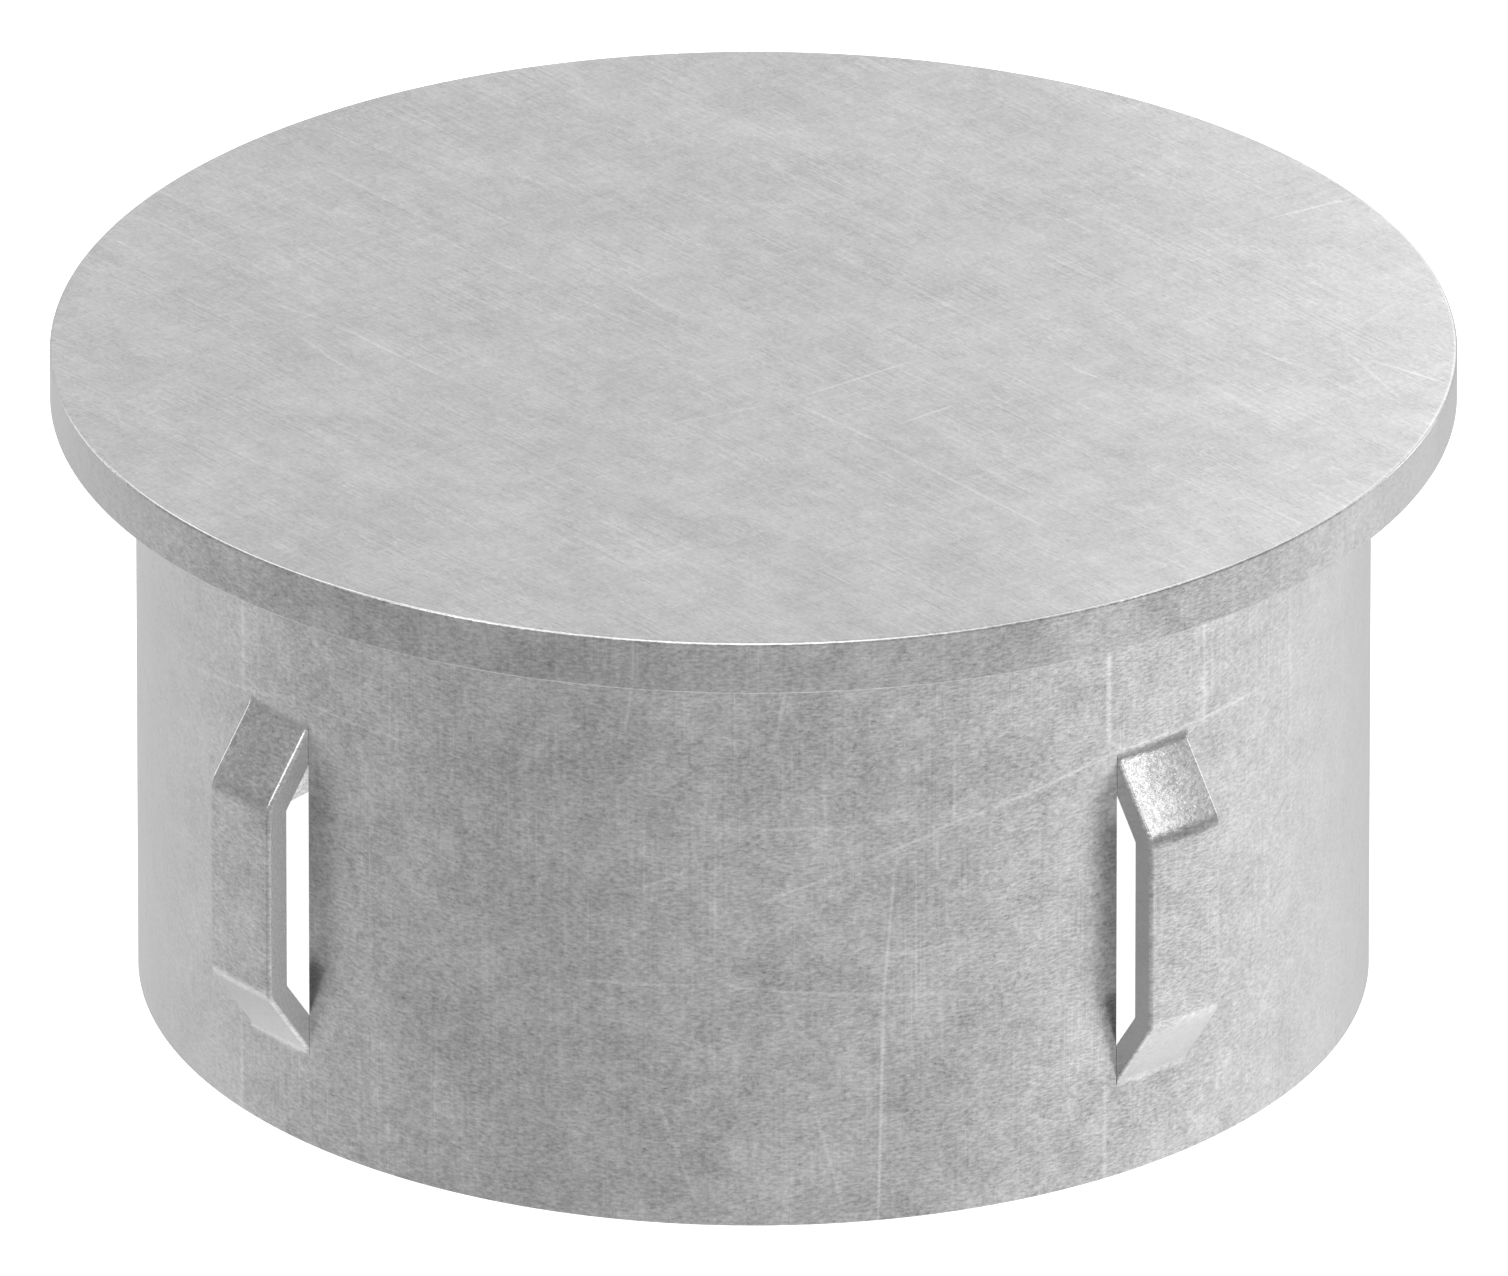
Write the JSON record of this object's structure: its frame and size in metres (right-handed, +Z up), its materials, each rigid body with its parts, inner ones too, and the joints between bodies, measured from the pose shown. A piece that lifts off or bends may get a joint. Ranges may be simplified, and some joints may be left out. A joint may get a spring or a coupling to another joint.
{
  "type": "steel tube end cap",
  "caption": "Round pressed-steel end cap: a flat disc with a folded rim and a hollow collar whose lanced bridges grip the bore of a steel tube.",
  "frame": {"origin": "centre of the collar's open edge, on the cap's axis", "axes": "+Z runs up the cap's axis, from the open edge to the disc; the bridges stand on +X, +Y, -X and -Y"},
  "size_m": [0.0888, 0.0888, 0.043],
  "materials": {
    "galvanised_steel": "galvanised satin"
  },
  "bodies": {
    "root": {"end_cap": "galvanised_steel"}
  },
  "joints": []
}
